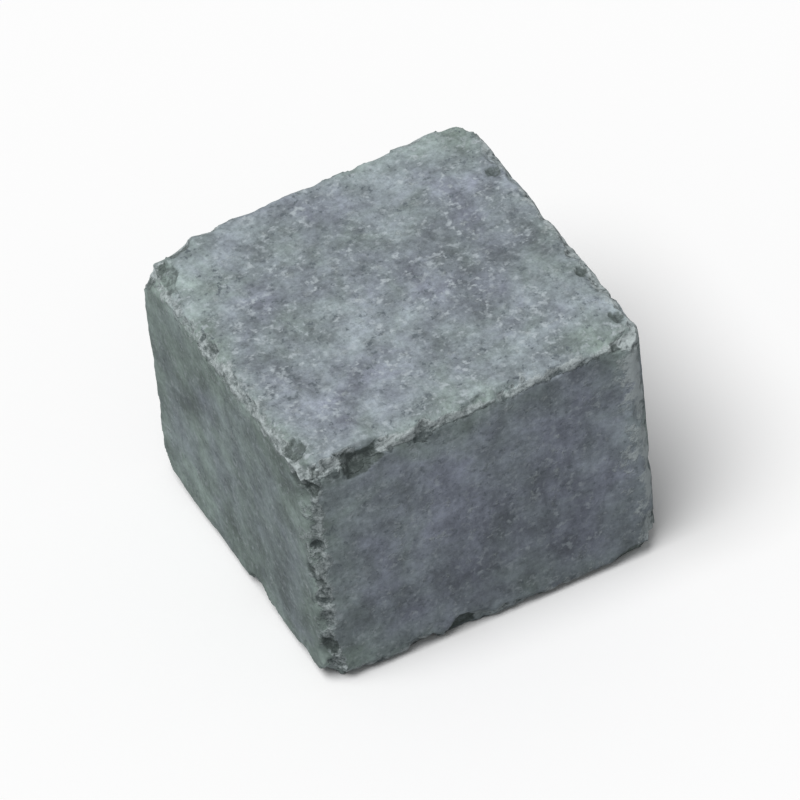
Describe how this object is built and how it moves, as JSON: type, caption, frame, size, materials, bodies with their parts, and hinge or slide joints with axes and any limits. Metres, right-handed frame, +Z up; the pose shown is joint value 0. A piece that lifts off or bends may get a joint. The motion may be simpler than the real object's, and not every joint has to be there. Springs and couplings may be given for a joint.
{
  "type": "cobblestone",
  "caption": "Tumbled natural-stone paving cobble, a near-cubic block with sawn faces, worn arrises and spalled corners, lying flat on its bed face.",
  "frame": {"origin": "on the bed plane, under the middle of the stone's box", "axes": "+X along the course that the stone is laid in, +Y to its back, +Z up out of the bed towards the head"},
  "size_m": [0.1024, 0.1032, 0.0795],
  "materials": {
    "limestone": "tumbled, matt"
  },
  "bodies": {
    "root": {"cobblestone": "limestone"}
  },
  "joints": []
}
